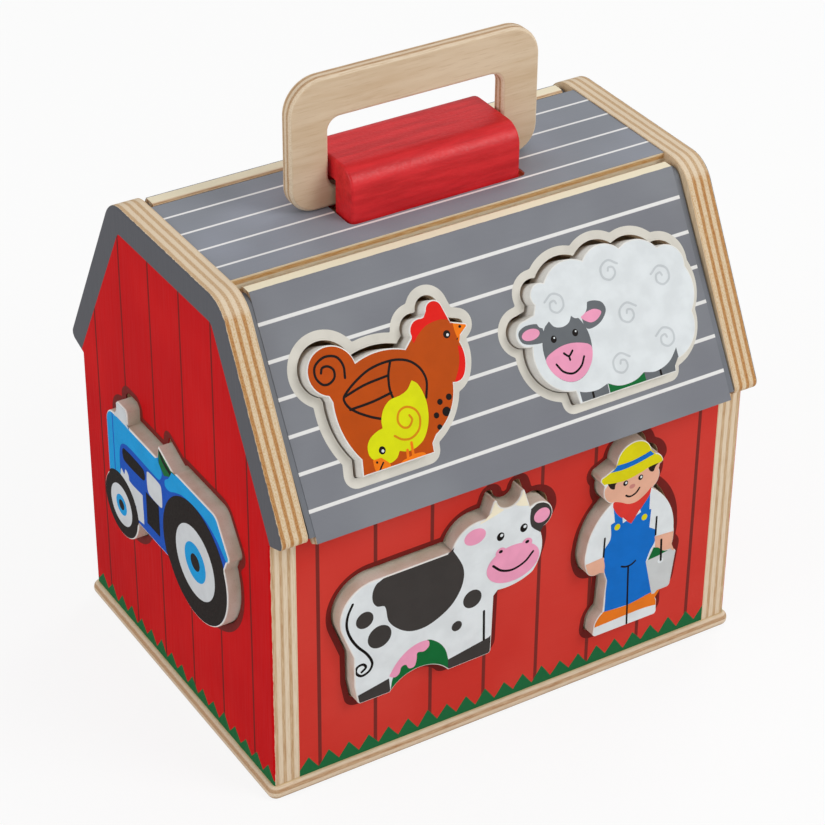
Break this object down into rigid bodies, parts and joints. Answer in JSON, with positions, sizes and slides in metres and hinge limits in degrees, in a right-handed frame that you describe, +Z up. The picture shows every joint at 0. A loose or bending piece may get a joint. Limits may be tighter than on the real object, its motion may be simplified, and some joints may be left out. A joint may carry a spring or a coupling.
{
  "type": "take-along sorting barn",
  "caption": "Wooden take-along toy barn: two roof lids hinge up beside the ridge, chunky farm pieces drop through shaped holes, loop handle on top.",
  "frame": {"origin": "middle of the base plate's underside", "axes": "+X along the ridge, -Y to the front wall, +Z up"},
  "size_m": [0.2416, 0.1892, 0.2788],
  "materials": {
    "painted_wood_dark": "clear-coated plywood",
    "painted_ply_red": "printed satin paint on plywood",
    "painted_ply_grey": "satin paint on plywood",
    "painted_wood_grey": "satin paint",
    "natural_ply": "clear-coated plywood",
    "red_lacquer_wood": "gloss lacquer on solid wood",
    "steel": "bright zinc",
    "printed_wood_orange": "printed satin paint on wood",
    "printed_wood_white": "printed satin paint on wood",
    "printed_wood_blue": "printed satin paint on wood",
    "printed_wood_yellow": "printed satin paint on wood",
    "printed_wood_pink": "printed satin paint on wood",
    "printed_wood_brown": "printed satin paint on wood"
  },
  "bodies": {
    "barn": {"base_plate": "painted_wood_dark", "gable_left": "painted_ply_red", "gable_right": "painted_ply_red", "wall_front": "painted_ply_red", "wall_back": "painted_ply_red", "ridge_panel": "painted_ply_grey", "carry_handle": "natural_ply", "ridge_block": "red_lacquer_wood", "block_retainer": "natural_ply", "hinge_pins": "steel", "gable_dowels": "natural_ply"},
    "front_lid": {"lid_front": "painted_ply_grey", "rail_front_left": "painted_wood_grey", "rail_front_right": "painted_wood_grey"},
    "back_lid": {"lid_back": "painted_ply_grey", "rail_back_left": "painted_wood_grey", "rail_back_right": "painted_wood_grey"},
    "hen_and_chick_piece": {"hen_and_chick": "printed_wood_orange"},
    "sheep_piece": {"sheep": "printed_wood_white"},
    "duck_piece": {"duck": "printed_wood_yellow"},
    "pig_piece": {"pig": "printed_wood_pink"},
    "cow_piece": {"cow": "printed_wood_white"},
    "farmer_piece": {"farmer": "printed_wood_blue"},
    "horse_piece": {"horse": "printed_wood_brown"},
    "cat_piece": {"cat": "printed_wood_orange"},
    "tractor_piece": {"tractor": "printed_wood_blue"},
    "hay_wagon_piece": {"hay_wagon": "printed_wood_yellow"}
  },
  "joints": [
    {"name": "front_lid_hinge", "type": "hinge", "parent": "barn", "child": "front_lid", "pos_m": [0, -0.0412, 0.2117], "axis": [-1, 0, 0], "range_deg": [0, 155]},
    {"name": "back_lid_hinge", "type": "hinge", "parent": "barn", "child": "back_lid", "pos_m": [0, 0.0412, 0.2117], "axis": [1, 0, 0], "range_deg": [0, 155]},
    {"name": "hen_and_chick_drop", "type": "slide", "parent": "front_lid", "child": "hen_and_chick_piece", "axis": [0, -0.8631, 0.505], "range_m": [-0.016, 0.006]},
    {"name": "sheep_drop", "type": "slide", "parent": "front_lid", "child": "sheep_piece", "axis": [0, -0.8631, 0.505], "range_m": [-0.016, 0.006]},
    {"name": "duck_drop", "type": "slide", "parent": "back_lid", "child": "duck_piece", "axis": [0, 0.8631, 0.505], "range_m": [-0.016, 0.006]},
    {"name": "pig_drop", "type": "slide", "parent": "back_lid", "child": "pig_piece", "axis": [0, 0.8631, 0.505], "range_m": [-0.016, 0.006]},
    {"name": "cow_drop", "type": "slide", "parent": "barn", "child": "cow_piece", "axis": [0, -1, 0], "range_m": [-0.016, 0.025]},
    {"name": "farmer_drop", "type": "slide", "parent": "barn", "child": "farmer_piece", "axis": [0, -1, 0], "range_m": [-0.016, 0.025]},
    {"name": "horse_drop", "type": "slide", "parent": "barn", "child": "horse_piece", "axis": [0, 1, 0], "range_m": [-0.016, 0.025]},
    {"name": "cat_drop", "type": "slide", "parent": "barn", "child": "cat_piece", "axis": [0, 1, 0], "range_m": [-0.016, 0.025]},
    {"name": "tractor_drop", "type": "slide", "parent": "barn", "child": "tractor_piece", "axis": [-1, 0, 0], "range_m": [-0.016, 0.025]},
    {"name": "hay_wagon_drop", "type": "slide", "parent": "barn", "child": "hay_wagon_piece", "axis": [1, 0, 0], "range_m": [-0.016, 0.025]}
  ]
}
